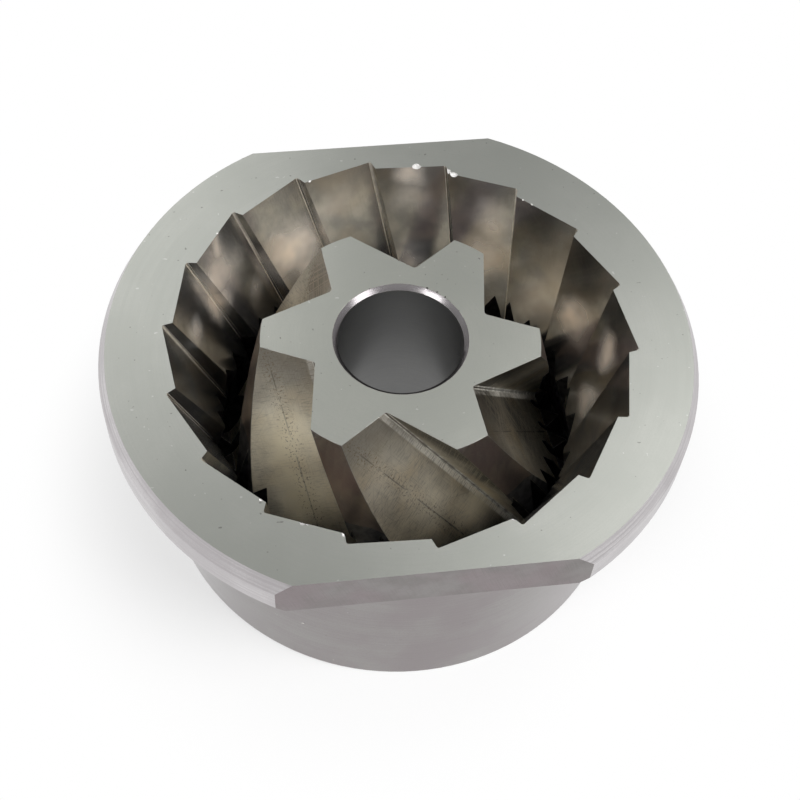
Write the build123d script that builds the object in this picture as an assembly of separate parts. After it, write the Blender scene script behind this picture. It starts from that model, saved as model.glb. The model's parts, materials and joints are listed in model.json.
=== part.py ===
# Conical burr set of a coffee grinder: a flanged ring burr and the cone burr that turns inside it.
# Millimetres, +Z up. Both burrs share the Z axis, the ring stands on z = 0 and its flats face +Y and -Y.
# Depths are measured down from the ring's top face. Angles are seen from above, anticlockwise from +X.

import os
from math import cos, radians, sin, tan

from build123d import *

# Ring burr, turned outside
ring_height = 29.7
flange_radius = 35.5
flange_thickness = 5.9
flange_across_flats = 62.0
flange_top_chamfer_width = 0.9
flange_top_chamfer_depth = 1.7
flange_bottom_chamfer_width = 0.5
flange_bottom_chamfer_depth = 1.0
body_radius = 29.6
body_edge_break = 0.4

# Cone burr, turned outside and bored through
cone_top_radius = 16.6
cone_half_angle = 14.65
cone_base_clearance = 0.3
cone_edge_break = 0.3
bore_radius = 7.5
bore_chamfer = 0.6

# Gap along the radius between the cone and the ring's fine teeth, which narrows on the way down
running_gap = 0.93
running_gap_at_base = 0.35

# Coarse teeth of the ring: straight cuts that lean inward and clockwise on their way down
ring_tooth_count = 18
ring_tooth_angle = 90.91
ring_root_radius = 28.2
ring_crest_radius = 27.0
ring_crest_lag = 1.02
ring_cut_inward = 0.296
ring_cut_clockwise = 0.19
ring_cut_depth = 22.0
ring_root_fillet = 0.3
ring_hole_depth = 14.0

# Fine teeth of the ring: V grooves that begin on the coarse teeth and fade towards the base
ring_groove_count = 45
ring_groove_angle = 81.1
ring_groove_opening = 68.0
ring_groove_start_depth = 13.6
ring_groove_start_radius = 22.2
ring_groove_full_depth = 17.5
ring_groove_cut = 1.9
ring_groove_cut_at_base = 0.5
ring_groove_twist = -0.6

# Flutes of the cone: straight V cuts that leave a blade between each two and stop above the base
flute_count = 6
flute_depth = 25.2
flute_angle = 73.67
flute_root_radius = 10.7
flute_leading_corner = 31.3
flute_trailing_corner = -14.48
flute_inward = 0.0742
flute_sideways = 0.7752
flute_root_fillet = 0.5

# Fine teeth of the cone: V grooves that begin on the blades and fade towards the base
cone_groove_count = 36
cone_groove_angle = 7.1
cone_groove_opening = 76.0
cone_groove_start_depth = 12.4
cone_groove_full_depth = 23.0
cone_groove_cut = 3.5
cone_groove_cut_at_base = 0.8
cone_groove_twist = 0.5

# How far a cut runs past the metal, and how wide a V cutter reaches above its edge
overrun = 1.5
cutter_height = 5.0
flute_cutter_reach = 32.0
tooth_cutter_reach = 1.3
tooth_cutter_inner_radius = 14.0

cone_slope = tan(radians(cone_half_angle))
body_length = ring_height - flange_thickness


def at(radius, angle, depth=0.0):
    """Point at a radius and an angle about Z, a depth below the ring's top face."""
    return Vector(radius * cos(radians(angle)), radius * sin(radians(angle)), ring_height - depth)


def cone_radius(depth):
    """Radius of the cone burr before its flutes and teeth are cut."""
    return cone_top_radius + cone_slope * depth


def ring_radius(depth):
    """Radius of the ring's flaring hole before its fine teeth are cut."""
    share = (depth - ring_hole_depth) / (ring_height - ring_hole_depth)
    return cone_radius(depth) + running_gap + (running_gap_at_base - running_gap) * share


def downward(angle, outward, anticlockwise):
    """Direction of a straight cut for each millimetre of depth, as seen at an angle about Z."""
    along_radius = Vector(cos(radians(angle)), sin(radians(angle)), 0) * outward
    across_radius = Vector(-sin(radians(angle)), cos(radians(angle)), 0) * anticlockwise
    return along_radius + across_radius - Vector(0, 0, 1)


def patterned(solids, count):
    """Copies of the solids at equal steps about Z."""
    return [solid.rotate(Axis.Z, 360 * step / count) for step in range(count) for solid in solids]


def ring_blank():
    """Turned ring: flange with a chamfered rim, plain body, and a hole that flares to the base."""
    hole_radius = ring_radius(ring_hole_depth)
    profile = Polyline(
        (hole_radius, ring_height),
        (flange_radius - flange_top_chamfer_width, ring_height),
        (flange_radius, ring_height - flange_top_chamfer_depth),
        (flange_radius, body_length + flange_bottom_chamfer_depth),
        (flange_radius - flange_bottom_chamfer_width, body_length),
        (body_radius, body_length),
        (body_radius, body_edge_break),
        (body_radius - body_edge_break, 0),
        (ring_radius(ring_height), 0),
        (hole_radius, ring_height - ring_hole_depth),
        close=True,
    )
    return revolve(Plane.XZ * make_face(profile), Axis.Z)


def flange_flats():
    """The two slabs of metal that are milled off the flange."""
    slab_width = flange_radius
    slab = Box(
        2 * flange_radius,
        slab_width,
        flange_thickness + 2 * overrun,
        align=(Align.CENTER, Align.MIN, Align.MIN),
    )
    front = Pos(0, flange_across_flats / 2, body_length - overrun) * slab
    return [front, front.rotate(Axis.Z, 180)]


def tooth_cut():
    """One coarse tooth space: a long facet and a short step that meet in a rounded root."""
    run = downward(ring_tooth_angle, -ring_cut_inward, -ring_cut_clockwise)
    root = at(ring_root_radius, ring_tooth_angle)
    own_crest = at(ring_crest_radius, ring_tooth_angle - ring_crest_lag)
    next_angle = ring_tooth_angle - ring_crest_lag + 360 / ring_tooth_count
    next_crest = at(ring_crest_radius, next_angle)
    step_reach = ring_root_radius - tooth_cutter_inner_radius
    step_reach /= ring_root_radius - ring_crest_radius
    corners = [
        root,
        root + (next_crest - root) * tooth_cutter_reach,
        at(tooth_cutter_inner_radius, next_angle),
        root + (own_crest - root) * step_reach,
    ]
    section = Face(Wire.make_polygon(corners))
    section = section.fillet_2d(ring_root_fillet, [section.vertices().sort_by_distance(root)[0]])
    start = section.moved(Location(run * -overrun))
    return Solid.extrude(start, run * (ring_cut_depth + overrun))


def v_groove(root, side, opening, ends):
    """V cutter with its edge through root, run straight to each end; side points out of the V."""
    half_width = Vector(-side.Y, side.X, 0) * (cutter_height * tan(radians(opening / 2)))
    mouth = root + side * cutter_height
    section = Face(Wire.make_polygon([root, mouth + half_width, mouth - half_width]))
    return [Solid.extrude(section, end - root) for end in ends]


def ring_groove():
    """One fine tooth space of the ring, open towards the axis."""
    full_turn = (ring_groove_full_depth - ring_groove_start_depth) * ring_groove_twist
    base_turn = (ring_height - ring_groove_start_depth) * ring_groove_twist
    angle = ring_groove_angle + full_turn
    start = at(ring_groove_start_radius, ring_groove_angle, ring_groove_start_depth)
    root = at(ring_radius(ring_groove_full_depth) + ring_groove_cut, angle, ring_groove_full_depth)
    base = at(ring_radius(ring_height) + ring_groove_cut_at_base, ring_groove_angle + base_turn, ring_height)
    beyond = base + (base - root).normalized() * overrun
    side = at(-1, angle) - at(0, angle)
    return v_groove(root, side, ring_groove_opening, [start, beyond])


def ring_burr():
    """Ring burr: turned blank, milled flats, coarse teeth above and fine teeth below."""
    ring = ring_blank() - flange_flats()
    ring -= patterned([tooth_cut()], ring_tooth_count)
    ring -= patterned(ring_groove(), ring_groove_count)
    return ring


def cone_blank():
    """Turned cone with a through bore, chamfered at both ends."""
    edge_height = cone_base_clearance + cone_edge_break
    profile = Polyline(
        (bore_radius + bore_chamfer, ring_height),
        (cone_top_radius, ring_height),
        (cone_radius(ring_height - edge_height), edge_height),
        (cone_radius(ring_height) - cone_edge_break, cone_base_clearance),
        (bore_radius + bore_chamfer, cone_base_clearance),
        (bore_radius, cone_base_clearance + bore_chamfer),
        (bore_radius, ring_height - bore_chamfer),
        close=True,
    )
    return revolve(Plane.XZ * make_face(profile), Axis.Z)


def flute():
    """One straight flute: two flat flanks through the blades' corners, with a rounded root."""
    run = downward(flute_angle, -flute_inward, flute_sideways)
    root = at(flute_root_radius, flute_angle)
    leading = at(cone_top_radius, flute_angle + flute_leading_corner) - root
    trailing = at(cone_top_radius, flute_angle + flute_trailing_corner) - root
    corners = [
        root,
        root + leading.normalized() * flute_cutter_reach,
        root + trailing.normalized() * flute_cutter_reach,
    ]
    section = Face(Wire.make_polygon(corners))
    section = section.fillet_2d(flute_root_fillet, [section.vertices().sort_by_distance(root)[0]])
    start = section.moved(Location(run * -overrun))
    return Solid.extrude(start, run * (flute_depth + overrun))


def cone_groove():
    """One fine tooth space of the cone, open outward."""
    full_turn = (cone_groove_full_depth - cone_groove_start_depth) * cone_groove_twist
    base_turn = (ring_height - cone_groove_start_depth) * cone_groove_twist
    angle = cone_groove_angle + full_turn
    start = at(cone_radius(cone_groove_start_depth), cone_groove_angle, cone_groove_start_depth)
    root = at(cone_radius(cone_groove_full_depth) - cone_groove_cut, angle, cone_groove_full_depth)
    base = at(cone_radius(ring_height) - cone_groove_cut_at_base, cone_groove_angle + base_turn, ring_height)
    above = start + (start - root).normalized() * overrun
    beyond = base + (base - root).normalized() * overrun
    side = at(1, angle) - at(0, angle)
    return v_groove(root, side, cone_groove_opening, [above, beyond])


def cone_burr():
    """Cone burr: turned blank, straight flutes that leave the blades, and fine teeth below."""
    cone = cone_blank()
    cone -= patterned([flute()], flute_count)
    cone -= patterned(cone_groove(), cone_groove_count)
    return cone


os.makedirs("parts", exist_ok=True)
export_step(ring_burr(), "parts/ring_burr.step")
export_step(cone_burr(), "parts/cone_burr.step")
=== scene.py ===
# Two burrs of a coffee grinder, ground and milled steel, standing on a white table.
import bpy
import json
import random
from math import cos, hypot, pi, radians, sin
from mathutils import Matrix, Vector

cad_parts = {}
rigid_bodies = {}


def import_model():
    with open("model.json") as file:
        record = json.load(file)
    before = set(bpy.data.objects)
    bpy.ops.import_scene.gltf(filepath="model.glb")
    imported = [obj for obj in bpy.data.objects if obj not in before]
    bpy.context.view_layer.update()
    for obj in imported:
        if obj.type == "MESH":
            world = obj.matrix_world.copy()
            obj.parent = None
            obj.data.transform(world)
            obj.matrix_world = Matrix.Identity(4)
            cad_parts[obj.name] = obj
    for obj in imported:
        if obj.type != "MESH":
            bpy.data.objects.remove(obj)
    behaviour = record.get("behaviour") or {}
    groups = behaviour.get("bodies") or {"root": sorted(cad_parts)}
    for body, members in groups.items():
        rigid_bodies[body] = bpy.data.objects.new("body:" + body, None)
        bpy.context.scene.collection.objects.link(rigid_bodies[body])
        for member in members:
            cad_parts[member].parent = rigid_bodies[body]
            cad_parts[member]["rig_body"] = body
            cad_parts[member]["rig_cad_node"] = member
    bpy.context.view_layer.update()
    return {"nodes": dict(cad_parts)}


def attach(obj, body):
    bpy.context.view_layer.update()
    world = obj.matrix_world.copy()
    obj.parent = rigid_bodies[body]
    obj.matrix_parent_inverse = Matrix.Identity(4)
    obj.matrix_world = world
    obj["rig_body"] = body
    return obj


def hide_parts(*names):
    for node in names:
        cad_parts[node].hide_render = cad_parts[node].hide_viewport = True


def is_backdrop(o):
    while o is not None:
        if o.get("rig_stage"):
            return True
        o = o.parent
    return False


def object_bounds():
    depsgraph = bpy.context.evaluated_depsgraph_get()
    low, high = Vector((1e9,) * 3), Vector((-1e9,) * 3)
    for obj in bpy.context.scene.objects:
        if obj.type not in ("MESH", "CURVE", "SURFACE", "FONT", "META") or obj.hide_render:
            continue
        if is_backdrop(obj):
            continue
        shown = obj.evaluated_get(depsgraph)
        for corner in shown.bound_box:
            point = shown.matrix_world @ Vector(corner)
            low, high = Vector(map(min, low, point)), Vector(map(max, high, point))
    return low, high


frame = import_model()
mmPerMetre = 1000
near = 0.0001  # metres within which two heights are taken as one


# small helpers for node trees
def addNode(tree, kind, **values):
    node = tree.nodes.new(kind)
    for name, value in values.items():
        setattr(node, name, value)
    return node


def plug(tree, socket, value):
    if isinstance(value, tuple):
        socket.default_value = (*value, 1.0)
    elif isinstance(value, (int, float)):
        socket.default_value = value
    else:
        tree.links.new(value, socket)


def mathNode(tree, operation, first, second=0.0):
    node = addNode(tree, "ShaderNodeMath", operation=operation)
    plug(tree, node.inputs[0], first)
    plug(tree, node.inputs[1], second)
    return node.outputs[0]


def times(tree, first, second):
    return mathNode(tree, "MULTIPLY", first, second)


def mapRange(tree, value, fromLow, fromHigh, toLow=0.0, toHigh=1.0):
    node = addNode(tree, "ShaderNodeMapRange", interpolation_type="SMOOTHSTEP")
    for index, amount in enumerate((value, fromLow, fromHigh, toLow, toHigh)):
        plug(tree, node.inputs[index], amount)
    return node.outputs[0]


def mixColour(tree, factor, first, second):
    # inputs 6 and 7 and output 2 are the node's colour sockets
    node = addNode(tree, "ShaderNodeMix", data_type="RGBA")
    plug(tree, node.inputs[0], factor)
    plug(tree, node.inputs[6], first)
    plug(tree, node.inputs[7], second)
    return node.outputs[2]


def noiseNode(tree, vector, scale, detail=2.0, roughness=0.5, output="Fac"):
    node = addNode(tree, "ShaderNodeTexNoise")
    plug(tree, node.inputs["Vector"], vector)
    plug(tree, node.inputs["Scale"], scale)
    plug(tree, node.inputs["Detail"], detail)
    plug(tree, node.inputs["Roughness"], roughness)
    return node.outputs[output]


def splitPlace(tree, vector):
    node = addNode(tree, "ShaderNodeSeparateXYZ")
    plug(tree, node.inputs[0], vector)
    return node.outputs


def joinPlace(tree, first, second, third=0.0):
    node = addNode(tree, "ShaderNodeCombineXYZ")
    for index, amount in enumerate((first, second, third)):
        plug(tree, node.inputs[index], amount)
    return node.outputs[0]


# how fine the noise in the steels is: cells in a metre, and for milled steel in a millimetre,
# where a pair is across and along the cut
turnedScales = {"rings": 9000.0, "round the axis": 1.6, "cloud": 110.0, "grain": 5200.0,
                "dark dust": 2300.0, "pale dust": 1900.0}
milledScales = {"ticks": (0.7, 5.5), "lines": (12.0, 0.25), "hatch": (3.6, 0.07), "patches": 0.3, "specks": 3.4}
plainScales = {"cloud": 900.0, "grain": 2600.0}
stainScale, spotScale = 150.0, 200.0
spotRagged = Vector((0.003, 0.003, 0.006))  # how far a patch's outline strays, in metres


# node groups that several materials share
def startGroup(name, inputs, outputs):
    group = bpy.data.node_groups.new(name, "ShaderNodeTree")
    for socketName, socketType in inputs:
        group.interface.new_socket(socketName, in_out="INPUT", socket_type=socketType)
    for socketName in outputs:
        group.interface.new_socket(socketName, in_out="OUTPUT", socket_type="NodeSocketFloat")
    return group, addNode(group, "NodeGroupInput"), addNode(group, "NodeGroupOutput")


def makeTurnedMarks():
    # rings left by turning and facing, finer than a tenth of a millimetre, running round the Z axis
    outputs = ["Rings", "Cloud", "Grain"]
    group, start, end = startGroup("turnedMarks", [("Position", "NodeSocketVector")], outputs)
    place = start.outputs["Position"]
    x, y, z = splitPlace(group, place)
    radius = mathNode(group, "SQRT", mathNode(group, "ADD", times(group, x, x), times(group, y, y)))
    turn = times(group, mathNode(group, "ADD", radius, z), turnedScales["rings"])
    east = times(group, mathNode(group, "DIVIDE", x, radius), turnedScales["round the axis"])
    north = times(group, mathNode(group, "DIVIDE", y, radius), turnedScales["round the axis"])
    rings = noiseNode(group, joinPlace(group, east, north, turn), 1.0, detail=3.0, roughness=0.65)
    plug(group, end.inputs["Rings"], rings)
    plug(group, end.inputs["Cloud"], noiseNode(group, place, turnedScales["cloud"], detail=3.0, roughness=0.55))
    plug(group, end.inputs["Grain"], noiseNode(group, place, turnedScales["grain"], detail=2.0, roughness=0.6))
    return group


def makeMilledMarks():
    # a cutter's marks on a milled flat; the Cut input is U across the cut and V along it, in millimetres
    outputs = ["Ticks", "Lines", "Hatch", "Patches", "Across", "Specks"]
    group, start, end = startGroup("milledMarks", [("Cut", "NodeSocketVector")], outputs)
    cut = start.outputs["Cut"]
    across, along, _ = splitPlace(group, cut)
    rising = mathNode(group, "ADD", across, along)
    falling = mathNode(group, "SUBTRACT", across, along)

    def streaks(first, second, scales, detail, roughness, apart=0.0):
        place = joinPlace(group, times(group, first, scales[0]), times(group, second, scales[1]), apart)
        return noiseNode(group, place, 1.0, detail, roughness)

    # the hatch is two sets of long scratches that cross
    one = streaks(rising, falling, milledScales["hatch"], detail=1.0, roughness=0.5)
    two = streaks(falling, rising, milledScales["hatch"], detail=1.0, roughness=0.5, apart=7.0)
    plug(group, end.inputs["Ticks"], streaks(across, along, milledScales["ticks"], detail=2.0, roughness=0.6))
    plug(group, end.inputs["Lines"], streaks(across, along, milledScales["lines"], detail=2.0, roughness=0.6))
    plug(group, end.inputs["Hatch"], mathNode(group, "MAXIMUM", one, two))
    plug(group, end.inputs["Patches"], noiseNode(group, cut, milledScales["patches"], detail=3.0, roughness=0.55))
    plug(group, end.inputs["Across"], across)
    plug(group, end.inputs["Specks"], noiseNode(group, cut, milledScales["specks"], detail=2.0, roughness=0.7))
    return group


def makeRaggedSpot():
    # one soft ragged patch, for painted dark reflections and for pale residue with painted reflection: 1 at its
    # centre and 0 beyond its radius
    inputs = [("Position", "NodeSocketVector"), ("Centre", "NodeSocketVector"), ("Radius", "NodeSocketFloat")]
    group, start, end = startGroup("raggedSpot", inputs, ["Mask"])
    place = start.outputs["Position"]
    shift = addNode(group, "ShaderNodeVectorMath", operation="MULTIPLY_ADD")
    plug(group, shift.inputs[0], noiseNode(group, place, spotScale, output="Color"))
    shift.inputs[1].default_value = spotRagged
    shift.inputs[2].default_value = -spotRagged / 2
    moved = addNode(group, "ShaderNodeVectorMath", operation="ADD")
    plug(group, moved.inputs[0], place)
    plug(group, moved.inputs[1], shift.outputs[0])
    away = addNode(group, "ShaderNodeVectorMath", operation="DISTANCE")
    plug(group, away.inputs[0], moved.outputs[0])
    plug(group, away.inputs[1], start.outputs["Centre"])
    share = mathNode(group, "DIVIDE", away.outputs["Value"], start.outputs["Radius"])
    plug(group, end.inputs["Mask"], mapRange(group, share, 0.0, 1.1, 1.0, 0.0))
    return group


turnedMarks = makeTurnedMarks()
milledMarks = makeMilledMarks()
raggedSpot = makeRaggedSpot()


# materials, and the tints that they share
tints = {
    "dark dust": (0.12, 0.11, 0.1),
    "pale dust": (0.8, 0.8, 0.78),
    "outline sheen": (0.95, 0.94, 0.95),
    "highlight strip": (0.96, 0.93, 0.84),
    "deep shade": (0.06, 0.055, 0.05),
    "top": (0.2, 0.18, 0.15),
    "brown specks": (0.2, 0.13, 0.07),
}


def startMaterial(name, metal):
    material = bpy.data.materials.new(name)
    material.use_nodes = True
    tree = material.node_tree
    shader = tree.nodes["Principled BSDF"]
    shader.inputs["Metallic"].default_value = metal
    return material, tree, shader, addNode(tree, "ShaderNodeTexCoord").outputs


def addMarks(tree, group, source):
    marks = addNode(tree, "ShaderNodeGroup", node_tree=group)
    plug(tree, marks.inputs[0], source)
    return marks.outputs


def finishMaterial(tree, shader, base, rough, height, strength, distance):
    plug(tree, shader.inputs["Base Color"], base)
    plug(tree, shader.inputs["Roughness"], rough)
    bump = addNode(tree, "ShaderNodeBump")
    plug(tree, bump.inputs["Strength"], strength)
    plug(tree, bump.inputs["Distance"], distance)
    plug(tree, bump.inputs["Height"], height)
    plug(tree, shader.inputs["Normal"], bump.outputs[0])


def unevenRoughness(tree, middle, noise, spread):
    return mathNode(tree, "ADD", times(tree, noise, spread), middle - spread / 2)


def turnedSteel(name, colour, shade, roughness, rings=0.35, specks=0.0, rim=0.0, metal=1.0):
    # faces finished on a lathe or by facing: satin grey with faint rings, faint clouds and a few dust specks
    material, tree, shader, coords = startMaterial(name, metal)
    marks = addMarks(tree, turnedMarks, coords["Object"])
    cloudMask = mapRange(tree, marks["Cloud"], 0.35, 0.65, 0.0, 0.6)
    ringMask = mapRange(tree, marks["Rings"], 0.3, 0.7, 0.0, rings)
    grainMask = mapRange(tree, marks["Grain"], 0.42, 0.7, 0.0, 0.35)
    base = colour
    for mask in (cloudMask, ringMask, grainMask):
        base = mixColour(tree, mask, base, shade)
    if specks:
        dark = noiseNode(tree, coords["Object"], turnedScales["dark dust"], detail=0.0)
        pale = noiseNode(tree, coords["Object"], turnedScales["pale dust"], detail=0.0)
        base = mixColour(tree, mapRange(tree, dark, 0.83, 0.865, 0.0, specks), base, tints["dark dust"])
        base = mixColour(tree, mapRange(tree, pale, 0.855, 0.88, 0.0, specks), base, tints["pale dust"])
    if rim:
        # painted sheen: paler towards the outline, more so on the left
        edgeOn = addNode(tree, "ShaderNodeLayerWeight").outputs["Facing"]
        leftward = mapRange(tree, splitPlace(tree, coords["Object"])[0], -0.01, 0.02, 1.0, 0.45)
        paintedSheen = times(tree, mapRange(tree, edgeOn, 0.6, 0.95, 0.0, rim), leftward)
        base = mixColour(tree, paintedSheen, base, tints["outline sheen"])
    rough = unevenRoughness(tree, roughness, marks["Rings"], 0.1)
    finishMaterial(tree, shader, base, rough, marks["Rings"], strength=0.12, distance=0.00002)
    return material


def spotsMask(tree, place, spots):
    # where any of the spots lies, each given by x, y, z, radius in millimetres and strength
    mask = 0.0
    for x, y, z, size, strength in spots:
        spot = addNode(tree, "ShaderNodeGroup", node_tree=raggedSpot)
        plug(tree, spot.inputs["Position"], place)
        spot.inputs["Centre"].default_value = (x / mmPerMetre, y / mmPerMetre, z / mmPerMetre)
        spot.inputs["Radius"].default_value = size / mmPerMetre
        mask = mathNode(tree, "MAXIMUM", times(tree, spot.outputs["Mask"], strength), mask)
    return mask


def milledSteel(name, colour, shade, stain, roughness, ticks, lines, hatch, metal=1.0, deepPaintedShade=0.0,
                topDark=0.0, step=None, residueAndReflection=(), residueAndReflectionColour=(), darkReflection=(), darkReflectionColour=()):
    # faces that a cutter left: ticks across, lines along, crossing scratches, stains, and painted shade, darker
    # in the throat and towards the top
    material, tree, shader, coords = startMaterial(name, metal)
    marks = addMarks(tree, milledMarks, coords["UV"])
    stains = noiseNode(tree, coords["Object"], stainScale)
    base = mixColour(tree, mapRange(tree, marks["Patches"], 0.36, 0.66), colour, shade)
    base = mixColour(tree, mapRange(tree, stains, 0.42, 0.68, 0.0, 0.7), base, stain)
    tickMask = mapRange(tree, marks["Ticks"], 0.5, 0.68, 0.0, ticks)
    lineMask = mapRange(tree, marks["Lines"], 0.48, 0.7, 0.0, lines)
    hatchMask = mapRange(tree, marks["Hatch"], 0.58, 0.74, 0.0, 0.5 * hatch)
    scratch = tuple(0.5 * part for part in shade)
    for mask in (tickMask, lineMask, hatchMask):
        base = mixColour(tree, mask, base, scratch)
    height = mathNode(tree, "ADD", mathNode(tree, "ADD", tickMask, lineMask), hatchMask)
    if step is not None:
        # the fine ledge between two passes of the cutter, with brown specks beside it
        beside = mathNode(tree, "ABSOLUTE", mathNode(tree, "SUBTRACT", marks["Across"], step))
        ledge = mapRange(tree, beside, 0.02, 0.12, 0.6, 0.0)
        ledge = times(tree, ledge, mapRange(tree, marks["Patches"], 0.38, 0.56))
        ledgeShade = tuple(0.3 * part for part in shade)
        speckMask = mapRange(tree, marks["Specks"], 0.56, 0.66)
        speckMask = times(tree, mapRange(tree, beside, 0.3, 1.9, 1.0, 0.0), speckMask)
        base = mixColour(tree, ledge, base, ledgeShade)
        height = mathNode(tree, "SUBTRACT", height, ledge)
        # painted highlight: a bright ridged strip beside the root, about a millimetre wide
        strip = mapRange(tree, marks["Across"], step + 4.6, step + 4.8)
        strip = times(tree, strip, mapRange(tree, marks["Across"], step + 5.7, step + 5.8, 1.0, 0.0))
        base = mixColour(tree, times(tree, strip, 0.8), base, tints["highlight strip"])
        ridges = times(tree, strip, mapRange(tree, marks["Ticks"], 0.46, 0.6))
        base = mixColour(tree, times(tree, ridges, 0.6), base, scratch)
        height = mathNode(tree, "ADD", height, ridges)
        highlightDull = times(tree, strip, 0.45)
    # painted shade: darker low in the throat, and darker towards the top
    up = splitPlace(tree, coords["Object"])[2]
    base = mixColour(tree, mapRange(tree, up, 0.024, 0.006, 0.0, deepPaintedShade), base, tints["deep shade"])
    base = mixColour(tree, mapRange(tree, up, 0.0215, 0.0295, 0.0, topDark), base, tints["top"])
    if darkReflection:
        # painted dark reflection, broken up by the crossing scratches
        mask = spotsMask(tree, coords["Object"], darkReflection)
        mask = times(tree, mask, mapRange(tree, marks["Hatch"], 0.5, 0.62, 1.0, 1.0 - 1.6 * hatch))
        base = mixColour(tree, mask, base, darkReflectionColour)
        if step is not None:
            highlightDull = times(tree, highlightDull, mapRange(tree, mask, 0.1, 0.5, 1.0, 0.0))
    if residueAndReflection:
        # pale residue with painted reflection is less metallic, and so is the painted highlight strip
        mask = spotsMask(tree, coords["Object"], residueAndReflection)
        mask = times(tree, mask, mapRange(tree, stains, 0.3, 0.55, 0.55, 1.0))
        base = mixColour(tree, mask, base, residueAndReflectionColour)
        dull = times(tree, mask, 0.8)
        if step is not None:
            dull = mathNode(tree, "MAXIMUM", dull, highlightDull)
        plug(tree, shader.inputs["Metallic"], mathNode(tree, "SUBTRACT", metal, dull))
    if step is not None:
        # the specks and the ledge show through the residue and painted reflection
        base = mixColour(tree, times(tree, speckMask, 0.75), base, tints["brown specks"])
        base = mixColour(tree, times(tree, ledge, 0.6), base, ledgeShade)
    rough = unevenRoughness(tree, roughness, marks["Patches"], 0.16)
    finishMaterial(tree, shader, base, rough, height, strength=0.45, distance=0.00003)
    return material


def plainSteel(name, colour, shade, roughness, metal=1.0):
    # small faces where only a cloudy grain shows
    material, tree, shader, coords = startMaterial(name, metal)
    cloud = noiseNode(tree, coords["Object"], plainScales["cloud"], detail=3.0, roughness=0.6)
    base = mixColour(tree, mapRange(tree, cloud, 0.35, 0.65), colour, shade)
    grain = noiseNode(tree, coords["Object"], plainScales["grain"])
    rough = unevenRoughness(tree, roughness, grain, 0.12)
    finishMaterial(tree, shader, base, rough, grain, strength=0.08, distance=0.00002)
    return material


# shared steps for both burrs
def selectOnly(thing):
    bpy.ops.object.select_all(action="DESELECT")
    thing.select_set(True)
    bpy.context.view_layer.objects.active = thing


def applyModifier(piece, modifier):
    bpy.context.view_layer.objects.active = piece
    bpy.ops.object.modifier_apply(modifier=modifier.name)


def copyNode(nodeName, pieceName):
    selectOnly(frame["nodes"][nodeName])
    bpy.ops.object.duplicate()
    piece = bpy.context.active_object
    piece.name = pieceName
    piece.data.name = pieceName
    del piece["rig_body"]
    del piece["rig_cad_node"]
    bpy.ops.object.parent_clear(type="CLEAR_KEEP_TRANSFORM")
    if piece.data.has_custom_normals:
        bpy.ops.mesh.customdata_custom_splitnormals_clear()
    bpy.ops.object.mode_set(mode="EDIT")
    bpy.ops.mesh.select_all(action="SELECT")
    bpy.ops.mesh.remove_doubles(threshold=0.000002)
    bpy.ops.mesh.dissolve_limited(angle_limit=radians(0.5))
    bpy.ops.mesh.normals_make_consistent(inside=False)
    bpy.ops.object.mode_set(mode="OBJECT")
    piece.data.materials.clear()
    return piece


def giveMaterials(piece, materials):
    # gives back the slot number of each
    for material in materials.values():
        piece.data.materials.append(material)
    return {name: index for index, name in enumerate(materials)}


def cutDirections(count, angle, inward, anticlockwise):
    # the direction each milling cut ran in, downwards, one for each tooth or flute
    found = []
    for index in range(count):
        turn = radians(angle + index * 360 / count)
        radial = Vector((cos(turn), sin(turn), 0))
        side = Vector((-sin(turn), cos(turn), 0))
        found.append((side * anticlockwise - radial * inward - Vector((0, 0, 1))).normalized())
    return found


def layCutMap(piece, directions):
    # UV in millimetres, U across the cut and V along it; gives back how wide each face is across the cut
    mesh = piece.data
    layer = mesh.uv_layers[0] if mesh.uv_layers else mesh.uv_layers.new(name="cut")
    widths = []
    for face in mesh.polygons:
        along = min(directions, key=lambda d: abs(face.normal.dot(d)))
        across = face.normal.cross(along)
        if across.length < 0.2:  # the face lies square to the cut
            across = face.normal.orthogonal()
        across.normalize()
        reach = []
        for loop in face.loop_indices:
            point = mesh.vertices[mesh.loops[loop].vertex_index].co * mmPerMetre
            layer.data[loop].uv = (point.dot(across), point.dot(along))
            reach.append(point.dot(across))
        widths.append(max(reach) - min(reach))
    return widths


def faceFacts(piece, face):
    # distance from the axis, how much the face looks outward, and its lowest and highest points
    centre, normal = face.center, face.normal
    reach = hypot(centre.x, centre.y)
    outward = (normal.x * centre.x + normal.y * centre.y) / max(reach, 1e-6)
    heights = [piece.data.vertices[index].co.z for index in face.vertices]
    return reach, outward, min(heights), max(heights)


def breakEdges(piece, width, edgeSlot):
    bevel = piece.modifiers.new("edgeBreak", "BEVEL")
    bevel.width = width
    bevel.segments = 2
    bevel.limit_method = "ANGLE"
    bevel.angle_limit = radians(24)
    bevel.material = edgeSlot
    bevel.miter_outer = "MITER_ARC"
    applyModifier(piece, bevel)


def nicksAlongEdges(piece, height, reachLow, reachHigh, count, slot):
    # random places for tiny nicks along the sharp edges of the top face
    mesh, dice = piece.data, random.Random(count)
    uses = {}
    for face in mesh.polygons:
        if face.normal.z > 0.999 and abs(face.center.z - height) < near:
            for key in face.edge_keys:
                uses[key] = uses.get(key, 0) + 1
    found = []
    for key in (key for key, used in uses.items() if used == 1):
        first, second = (mesh.vertices[index].co for index in key)
        if reachLow < hypot(*((first + second) / 2).xy) < reachHigh:
            found.append((first, second, (first - second).length))
    picks = dice.choices(found, weights=[length for _, _, length in found], k=count)
    places = []
    for first, second, _ in picks:
        point = first.lerp(second, dice.random()) * mmPerMetre
        places.append((point.x, point.y, point.z, dice.uniform(0.05, 0.11), slot))
    return places


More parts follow.
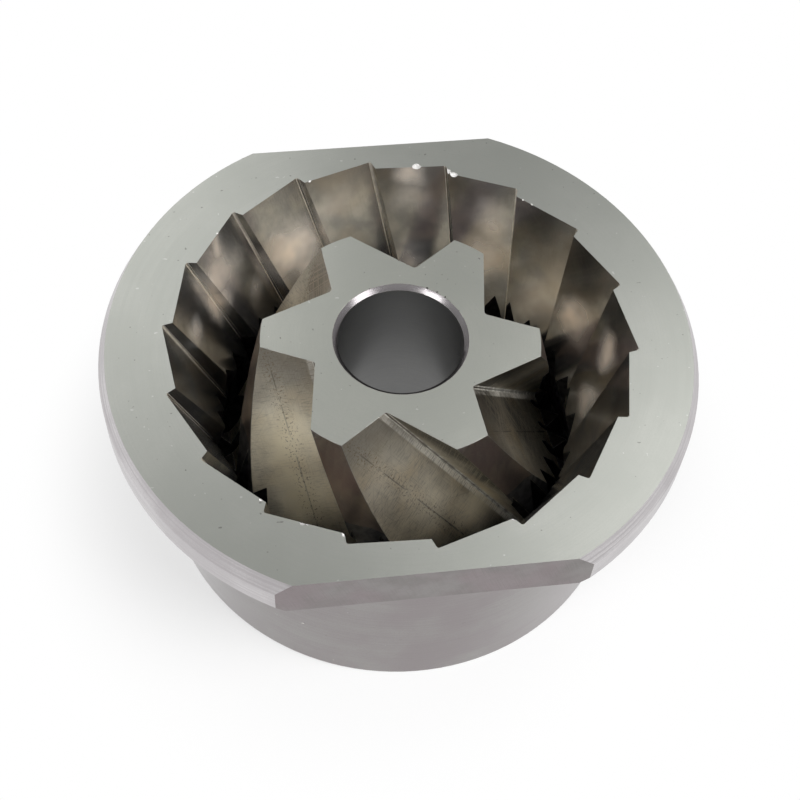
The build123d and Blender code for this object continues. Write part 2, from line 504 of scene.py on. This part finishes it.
def cutChips(piece, places):
    # small scoops out of the steel where it is chipped, each with its place, its size and its material slot
    dice = random.Random(len(places))
    scoops = []
    for x, y, z, size, slot in places:
        bpy.ops.object.select_all(action="DESELECT")
        centre = (x / mmPerMetre, y / mmPerMetre, z / mmPerMetre)
        bpy.ops.mesh.primitive_ico_sphere_add(subdivisions=2, radius=size / mmPerMetre, location=centre)
        scoop = bpy.context.active_object
        scoop.scale = (dice.uniform(0.7, 1.5), dice.uniform(0.6, 1.1), dice.uniform(0.5, 0.9))
        scoop.rotation_euler = (dice.uniform(-0.4, 0.4), dice.uniform(-0.4, 0.4), dice.uniform(0, pi))
        for material in piece.data.materials:
            scoop.data.materials.append(material)
        for face in scoop.data.polygons:
            face.material_index = slot
        scoops.append(scoop)
    bpy.ops.object.select_all(action="DESELECT")
    for scoop in scoops:
        scoop.select_set(True)
    bpy.context.view_layer.objects.active = scoops[0]
    bpy.ops.object.join()
    cutter = bpy.context.active_object
    bpy.ops.object.transform_apply(location=True, rotation=True, scale=True)
    bpy.ops.object.mode_set(mode="EDIT")
    bpy.ops.mesh.select_all(action="SELECT")
    bpy.ops.transform.vertex_random(offset=0.00003, seed=len(places))
    bpy.ops.object.mode_set(mode="OBJECT")
    selectOnly(piece)
    bite = piece.modifiers.new("chips", "BOOLEAN")
    bite.operation = "DIFFERENCE"
    bite.solver = "EXACT"
    bite.use_self = True
    bite.material_mode = "INDEX"
    bite.object = cutter
    applyModifier(piece, bite)
    selectOnly(cutter)
    bpy.ops.object.delete()


def finishShading(piece):
    selectOnly(piece)
    bpy.ops.object.shade_smooth_by_angle(angle=radians(50))
    weighted = piece.modifiers.new("faceNormals", "WEIGHTED_NORMAL")
    weighted.keep_sharp = True
    weighted.weight = 80
    applyModifier(piece, weighted)


# heights and reaches by which faces are told apart, in metres
topHeight, flangeFoot, grooveTop = 0.0297, 0.0238, 0.0187
flatReach, throatReach, boreReach, chamferReach = 0.031, 0.0285, 0.0078, 0.0083
rootWidth = 0.4  # millimetres across the cut, wider than a rounded root's facets

# ring burr
ring = {
    "edge break": 0.00009,
    "face": {"colour": (0.55, 0.56, 0.52), "shade": (0.49, 0.505, 0.465), "roughness": 0.32, "specks": 0.5},
    "rim": {"colour": (0.7, 0.68, 0.685), "shade": (0.44, 0.415, 0.425), "roughness": 0.34, "rings": 0.8},
    "flat": {"colour": (0.27, 0.255, 0.25), "shade": (0.24, 0.225, 0.22), "stain": (0.27, 0.225, 0.235),
             "roughness": 0.4, "ticks": 0.1, "lines": 0.2, "hatch": 0.1},
    "tooth": {
        "colour": (0.75, 0.74, 0.715), "shade": (0.54, 0.545, 0.55), "stain": (0.66, 0.6, 0.53),
        "roughness": 0.22, "ticks": 0.04, "lines": 0.12, "hatch": 0.04, "metal": 0.98, "deepPaintedShade": 0.62,
        # patches of painted dark reflection, and of pale residue with painted reflection: x, y, z, radius in
        # millimetres, strength
        "darkReflectionColour": (0.15, 0.155, 0.165),
        "darkReflection": [
            (19.6, 17.4, 27.6, 6.0, 0.85), (24.6, 9.8, 27.6, 6.5, 0.95), (26.6, 0.2, 27.6, 6.0, 0.9),
            (11.5, 23.5, 28.0, 3.5, 0.4), (25.8, -4.4, 26.4, 3.5, 0.6), (26.0, -10.0, 27.0, 4.0, 0.6)],
        "residueAndReflectionColour": (0.95, 0.78, 0.6),
        "residueAndReflection": [
            (-20.5, 16.9, 27.8, 2.2, 0.5), (-16.1, 17.8, 18.3, 2.2, 0.35), (-11.0, 21.8, 20.3, 6.0, 0.85),
            (4.3, 26.4, 28.3, 3.0, 0.55), (4.5, 22.5, 17.0, 3.4, 0.6), (-21.7, 13.8, 21.8, 3.2, 0.6),
            (-24.2, 7.1, 24.2, 2.8, 0.5), (14.7, 20.7, 25.0, 3.4, 0.35), (14.2, 19.6, 19.5, 5.0, 0.6),
            (20.0, 13.6, 17.5, 4.0, 0.35), (23.4, 7.3, 20.3, 4.2, 1.0), (25.7, -0.9, 24.3, 3.0, 0.7),
            (23.5, -3.4, 17.3, 2.6, 0.5), (-6.0, 25.0, 25.6, 4.0, 0.15), (-21.0, 15.0, 25.0, 5.5, 0.5),
            (4.5, 25.3, 25.2, 3.6, 0.2)],
    },
    "root": {"colour": (0.95, 0.9, 0.8), "shade": (0.75, 0.7, 0.62), "roughness": 0.3, "metal": 0.8},
    # painted shade: darker steel for the faces low in the grooves
    "deep shade": {"colour": (0.24, 0.24, 0.25), "shade": (0.14, 0.14, 0.15), "roughness": 0.4},
    "edge": {"colour": (0.66, 0.65, 0.61), "shade": (0.4, 0.39, 0.36), "roughness": 0.33},
    "chip": {"colour": (0.9, 0.89, 0.87), "shade": (0.75, 0.74, 0.72), "roughness": 0.5, "metal": 0.4},
    # rim sets how strong the painted sheen towards the outline is
    "body steel": {"colour": (0.32, 0.31, 0.3), "shade": (0.255, 0.222, 0.23), "roughness": 0.36,
                   "rings": 0.4, "specks": 0.2, "rim": 0.6},
    # chips round the rim of the hole, and the last one on the body: x, y, z, size in millimetres
    "chips": [
        (5.4, 26.75, 29.85, 0.8), (9.2, 25.75, 29.7, 0.6), (9.95, 25.05, 29.8, 0.72),
        (-8.5, 25.55, 29.7, 0.22), (-17.85, -20.25, 29.7, 0.32), (-13.6, -23.5, 29.7, 0.4),
        (-13.15, -23.75, 29.7, 0.28), (-9.28, -25.45, 29.7, 0.38), (9.2, -25.38, 29.7, 0.28),
        (18.1, 20.0, 29.7, 0.16), (19.1, 19.1, 29.7, 0.14), (-20.6, 18.0, 29.7, 0.14),
        (-22.82, -14.55, 29.7, 0.12), (-18.6, -19.23, 29.7, 0.12), (-14.22, -25.97, 9.5, 0.24)],
    "nick count": 24,
    "nicks from": 0.024, "nicks to": 0.029,
    # the teeth: how many, the first one's angle, and how they lean inward and anticlockwise going down
    "cuts": (18, 90.91, 0.296, -0.19),
    "body": "ring", "slot": "ring_steel",
}
print("ring burr")
ringPiece = copyNode("ring_burr", "ring_burr_steel")
ringSlots = giveMaterials(ringPiece, {
    "face": turnedSteel("ringFaceSteel", **ring["face"]),
    "rim": turnedSteel("ringRimSteel", **ring["rim"]),
    "flat": milledSteel("ringFlatSteel", **ring["flat"]),
    "tooth": milledSteel("ringToothSteel", **ring["tooth"]),
    "root": plainSteel("ringRootSteel", **ring["root"]),
    "deep shade": plainSteel("ringDeepShadeSteel", **ring["deep shade"]),
    "edge": plainSteel("ringEdgeSteel", **ring["edge"]),
    "chip": plainSteel("ringChipSteel", **ring["chip"]),
    "body": turnedSteel("ringBodySteel", **ring["body steel"]),
})
ringWidths = layCutMap(ringPiece, cutDirections(*ring["cuts"]))
for face, width in zip(ringPiece.data.polygons, ringWidths):
    reach, outward, low, high = faceFacts(ringPiece, face)
    if abs(face.normal.z) > 0.999 and (low > topHeight - near or high < near):
        kind = "face"
    elif abs(face.normal.y) > 0.999 and abs(abs(face.center.y) - flatReach) < near:
        kind = "flat"
    elif reach > throatReach and (outward > 0.2 or face.normal.z < -0.99):
        kind = "rim" if high > flangeFoot + near else "body"
    elif high < grooveTop:
        kind = "deep shade"
    elif width < rootWidth and high > topHeight - near:
        kind = "root"
    else:
        kind = "tooth"
    face.material_index = ringSlots[kind]
breakEdges(ringPiece, ring["edge break"], ringSlots["edge"])
ringNicks = nicksAlongEdges(
    ringPiece, topHeight, ring["nicks from"], ring["nicks to"], ring["nick count"], ringSlots["edge"])
cutChips(ringPiece, [(*chip, ringSlots["chip"]) for chip in ring["chips"]] + ringNicks)
finishShading(ringPiece)
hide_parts("ring_burr")
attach(ringPiece, ring["body"])


# cone burr
cone = {
    "edge break": 0.00008,
    "face": {"colour": (0.55, 0.56, 0.51), "shade": (0.49, 0.505, 0.46), "roughness": 0.32, "specks": 0.5},
    "flute": {
        "colour": (0.92, 0.86, 0.72), "shade": (0.72, 0.67, 0.56), "stain": (0.82, 0.7, 0.5),
        "roughness": 0.4, "ticks": 0.5, "lines": 0.3, "hatch": 0.45, "metal": 0.97, "topDark": 0.8,
        # where the cutter's ledge runs, in millimetres across the cut
        "step": -3.9,
        # patches of painted dark reflection, and of pale residue with painted reflection: x, y, z, radius in
        # millimetres, strength
        "darkReflectionColour": (0.05, 0.05, 0.052),
        "darkReflection": [
            (-9.6, 10.7, 27.0, 5.0, 0.6), (10.0, -6.0, 26.0, 8.0, 0.85), (14.6, -4.4, 16.5, 8.0, 0.75),
            (2.2, -13.9, 28.6, 4.0, 0.9), (4.7, -15.0, 26.8, 5.0, 0.95), (8.2, -15.7, 22.3, 5.2, 0.95)],
        "residueAndReflectionColour": (0.98, 0.88, 0.64),
        "residueAndReflection": [
            (-14.5, -6.7, 19.5, 6.5, 1.0), (-13.4, -10.8, 14.0, 6.5, 1.0), (3.0, -14.8, 17.5, 5.5, 0.3),
            (8.4, -13.8, 13.0, 5.0, 0.6)],
    },
    "land": {"colour": (0.4, 0.35, 0.32), "shade": (0.3, 0.26, 0.25), "stain": (0.36, 0.28, 0.27),
             "roughness": 0.34, "ticks": 0.15, "lines": 0.1, "hatch": 0.0, "deepPaintedShade": 0.4},
    "bore": {"colour": (0.29, 0.29, 0.285), "shade": (0.25, 0.25, 0.25), "roughness": 0.36, "metal": 0.95},
    "chamfer": {"colour": (0.62, 0.6, 0.6), "shade": (0.5, 0.46, 0.48), "roughness": 0.25, "rings": 0.5},
    "root": {"colour": (0.95, 0.93, 0.84), "shade": (0.5, 0.48, 0.42), "roughness": 0.34, "metal": 0.6},
    # painted shade: darker steel for the faces low in the flutes
    "deep shade": {"colour": (0.24, 0.24, 0.25), "shade": (0.14, 0.14, 0.15), "roughness": 0.4},
    "edge": {"colour": (0.66, 0.65, 0.6), "shade": (0.4, 0.39, 0.36), "roughness": 0.33},
    "pit": {"colour": (0.14, 0.13, 0.12), "shade": (0.07, 0.07, 0.07), "roughness": 0.6},
    # painted shade: near-black steel on the flat floors at the end of the flutes
    "shaded flute end": {"colour": (0.03, 0.028, 0.025), "shade": (0.015, 0.014, 0.013), "roughness": 0.7},
    # pits round the chamfer of the bore: x, y, z, size in millimetres
    "pits": [
        (4.06, 7.07, 29.7, 0.13), (5.18, 6.35, 29.7, 0.12), (6.04, 5.5, 29.7, 0.12),
        (6.87, -3.75, 29.5, 0.11), (6.48, -4.7, 29.62, 0.12), (-2.9, 7.6, 29.7, 0.08),
        (7.4, 3.3, 29.7, 0.09)],
    "nick count": 26,
    "nicks from": 0.0095, "nicks to": 0.0175,
    # the flutes, given as the ring's teeth are
    "cuts": (6, 73.67, 0.0742, 0.7752),
    "base height": 0.0004,
    "body": "cone", "slot": "cone_steel",
}
print("cone burr")
conePiece = copyNode("cone_burr", "cone_burr_steel")
coneSlots = giveMaterials(conePiece, {
    "face": turnedSteel("coneFaceSteel", **cone["face"]),
    "flute": milledSteel("coneFluteSteel", **cone["flute"]),
    "land": milledSteel("coneLandSteel", **cone["land"]),
    "bore": turnedSteel("coneBoreSteel", **cone["bore"]),
    "chamfer": turnedSteel("coneChamferSteel", **cone["chamfer"]),
    "root": plainSteel("coneRootSteel", **cone["root"]),
    "deep shade": plainSteel("coneDeepShadeSteel", **cone["deep shade"]),
    "edge": plainSteel("coneEdgeSteel", **cone["edge"]),
    "pit": plainSteel("conePitSteel", **cone["pit"]),
    "shaded flute end": plainSteel("coneFluteEndShadeSteel", **cone["shaded flute end"]),
})
coneWidths = layCutMap(conePiece, cutDirections(*cone["cuts"]))
for face, width in zip(conePiece.data.polygons, coneWidths):
    reach, outward, low, high = faceFacts(conePiece, face)
    if abs(face.normal.z) > 0.999 and (low > topHeight - near or high < cone["base height"]):
        kind = "face"
    elif outward < -0.9 and reach < boreReach:
        kind = "bore"
    elif reach < chamferReach and outward < -0.3:
        kind = "chamfer"
    elif high < grooveTop:
        kind = "shaded flute end" if face.normal.z > 0.99 else "deep shade"
    elif outward > 0.93:
        kind = "land"
    elif width < rootWidth and high > topHeight - near:
        kind = "root"
    else:
        kind = "flute"
    face.material_index = coneSlots[kind]
breakEdges(conePiece, cone["edge break"], coneSlots["edge"])
coneNicks = nicksAlongEdges(
    conePiece, topHeight, cone["nicks from"], cone["nicks to"], cone["nick count"], coneSlots["edge"])
cutChips(conePiece, [(*pit, coneSlots["pit"]) for pit in cone["pits"]] + coneNicks)
finishShading(conePiece)
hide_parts("cone_burr")
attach(conePiece, cone["body"])


# floor: painted shade, dark inside the ring, and pure white to the camera away from it
paper = {
    # inside is painted shade on the floor under the ring
    "size": 6.0, "colour": (0.8, 0.8, 0.8), "inside": (0.03, 0.03, 0.03),
    # metres from the axis: the end of the bore, the foot of the ring, and where the shadow fades out
    "bore": (0.008, 0.0095), "foot": (0.0286, 0.0294), "shadow": (0.03, 0.05),
    "shadow lift": 0.55,
}
print("floor")
bpy.ops.mesh.primitive_plane_add(size=paper["size"], location=(0, 0, 0))
floor = bpy.context.active_object
floor.name = "floor"
floorMaterial = bpy.data.materials.new("floorPaper")
floorMaterial.use_nodes = True
floorTree = floorMaterial.node_tree
floorShader = floorTree.nodes["Principled BSDF"]
floorShader.inputs["Roughness"].default_value = 0.9
floorShader.inputs["Specular IOR Level"].default_value = 0.1
glow = addNode(floorTree, "ShaderNodeEmission")
rays = addNode(floorTree, "ShaderNodeLightPath").outputs
seen = mathNode(floorTree, "MAXIMUM", rays["Is Camera Ray"], rays["Is Glossy Ray"])
seen = mathNode(floorTree, "MAXIMUM", seen, rays["Is Transmission Ray"])
fromAxis = addNode(floorTree, "ShaderNodeVectorMath", operation="LENGTH")
plug(floorTree, fromAxis.inputs[0], addNode(floorTree, "ShaderNodeTexCoord").outputs["Object"])
away = fromAxis.outputs["Value"]
inBore = mapRange(floorTree, away, *paper["bore"], 1.0, 0.0)
outside = mapRange(floorTree, away, *paper["foot"])
uncovered = mathNode(floorTree, "MAXIMUM", inBore, outside)
paperColour = mixColour(floorTree, uncovered, paper["inside"], paper["colour"])
plug(floorTree, floorShader.inputs["Base Color"], paperColour)
whiter = times(floorTree, mapRange(floorTree, away, *paper["shadow"], paper["shadow lift"], 1.0), outside)
# painted light: the floor under the bore glows too, so it shows pale in the steel's reflection
whiter = mathNode(floorTree, "MAXIMUM", whiter, times(floorTree, inBore, paper["shadow lift"]))
floorMix = addNode(floorTree, "ShaderNodeMixShader")
plug(floorTree, floorMix.inputs[0], times(floorTree, seen, whiter))
plug(floorTree, floorMix.inputs[1], floorShader.outputs[0])
plug(floorTree, floorMix.inputs[2], glow.outputs[0])
plug(floorTree, floorTree.nodes["Material Output"].inputs["Surface"], floorMix.outputs[0])
floor.data.materials.append(floorMaterial)
floor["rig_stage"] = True


# studio around the table: a pale backdrop to the camera, a dimmer grey round the steel
studio = {
    "low": 0.3, "high": 0.44, "less when spread": 0.5,
    # azimuth and elevation in degrees, distance, width and height in metres, radiance, mirrored in the steel
    "lampLeft": (-125, 30, 0.55, 0.24, 0.24, 2.8, True),
    "lampRight": (125, 30, 0.55, 0.24, 0.24, 2.4, True),
    "lampKey": (122, 46, 0.55, 0.28, 0.28, 10.0, False),
    "lampFill": (-142, 42, 0.55, 0.28, 0.28, 5.0, False),
    "lampBackLeft": (-18, 44, 0.6, 0.28, 0.28, 1.05, True),
    "lampBackRight": (52, 58, 0.6, 0.3, 0.26, 1.4, True),
}
print("studio")
world = bpy.data.worlds.new("studio")
bpy.context.scene.world = world
world.use_nodes = True
worldTree = world.node_tree
worldTree.nodes.clear()
worldRays = addNode(worldTree, "ShaderNodeLightPath").outputs
upward = splitPlace(worldTree, addNode(worldTree, "ShaderNodeTexCoord").outputs["Generated"])[2]
backdrop = addNode(worldTree, "ShaderNodeBackground")
surround = addNode(worldTree, "ShaderNodeBackground")
sky = mapRange(worldTree, upward, 0.1, 0.85, studio["low"], studio["high"])
spread = times(worldTree, worldRays["Is Diffuse Ray"], studio["less when spread"])
strength = times(worldTree, sky, mathNode(worldTree, "SUBTRACT", 1.0, spread))
plug(worldTree, surround.inputs["Strength"], strength)
worldMix = addNode(worldTree, "ShaderNodeMixShader")
plug(worldTree, worldMix.inputs[0], worldRays["Is Camera Ray"])
plug(worldTree, worldMix.inputs[1], surround.outputs[0])
plug(worldTree, worldMix.inputs[2], backdrop.outputs[0])
worldOut = addNode(worldTree, "ShaderNodeOutputWorld")
plug(worldTree, worldOut.inputs[0], worldMix.outputs[0])
burrMiddle = Vector((0, 0, 0.015))


def softbox(name, azimuth, elevation, distance, width, height, radiance, mirrored):
    # a square lamp aimed at the burrs; azimuth 0 is behind them, 90 to their right, 180 at the camera
    azimuth, elevation = radians(azimuth), radians(elevation)
    aim = Vector((sin(azimuth) * cos(elevation), cos(azimuth) * cos(elevation), sin(elevation)))
    bpy.ops.object.light_add(type="AREA", location=aim * distance + burrMiddle)
    lamp = bpy.context.active_object
    lamp.name = name
    lamp.data.shape = "RECTANGLE"
    lamp.data.size, lamp.data.size_y = width, height
    lamp.data.energy = radiance * pi * width * height
    lamp.rotation_euler = aim.to_track_quat("Z", "Y").to_euler()
    lamp.visible_glossy = mirrored


for lampName in ("lampLeft", "lampRight", "lampKey", "lampFill", "lampBackLeft", "lampBackRight"):
    softbox(lampName, *studio[lampName])


# camera where the photo was taken from
camera = {"place": (-0.017537, -0.098689, 0.165644), "turn": (33.846, -2.146, -7.097), "lens": 64.383}
print("camera")
bpy.ops.object.camera_add(location=camera["place"], rotation=[radians(angle) for angle in camera["turn"]])
cameraObject = bpy.context.active_object
cameraObject.data.lens = camera["lens"]
cameraObject.data.sensor_width = 36
cameraObject.data.clip_start = 0.005
bpy.context.scene.camera = cameraObject
bpy.context.scene.view_settings.view_transform = "Standard"

low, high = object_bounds()
